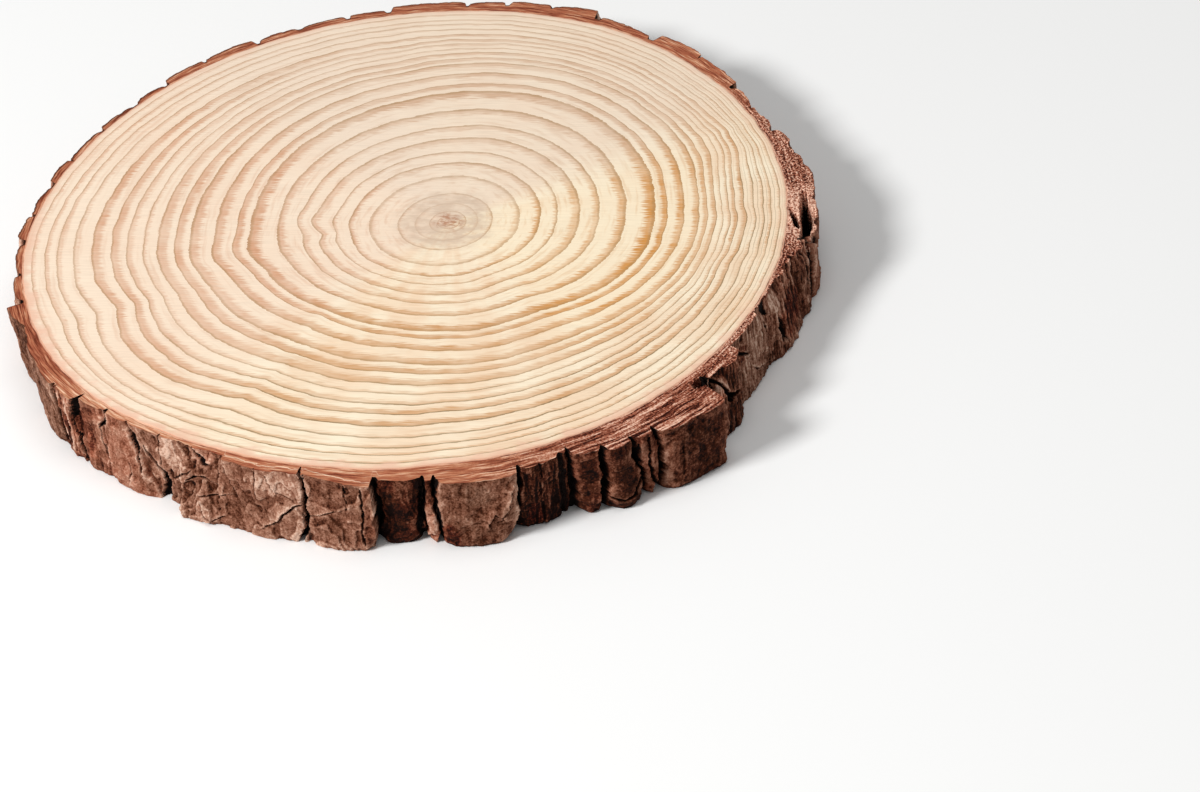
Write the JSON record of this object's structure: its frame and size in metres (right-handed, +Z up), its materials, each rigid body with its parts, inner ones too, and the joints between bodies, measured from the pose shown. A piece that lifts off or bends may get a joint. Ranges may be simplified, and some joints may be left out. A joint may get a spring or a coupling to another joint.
{
  "type": "wood slice",
  "caption": "Round cross-cut slice of pine trunk, sawn flat on both faces, with growth rings round an off-centre pith and a ring of cracked, plated bark.",
  "frame": {"origin": "middle of the slice's box on its underside, where it lies on a table", "axes": "+Z up along the trunk, out of the upper sawn face; +X to the right and +Y away from the viewer, as the slice is seen from its thickest bark"},
  "size_m": [0.2214, 0.2223, 0.021],
  "materials": {
    "wood": "pale sanded pine end grain, cream earlywood and tan latewood rings, matt",
    "bark": "rough pine bark, grey-brown plates with dark cracks, reddish layers where sawn, matt"
  },
  "bodies": {
    "root": {"wood": "wood", "bark": "bark"}
  },
  "joints": []
}
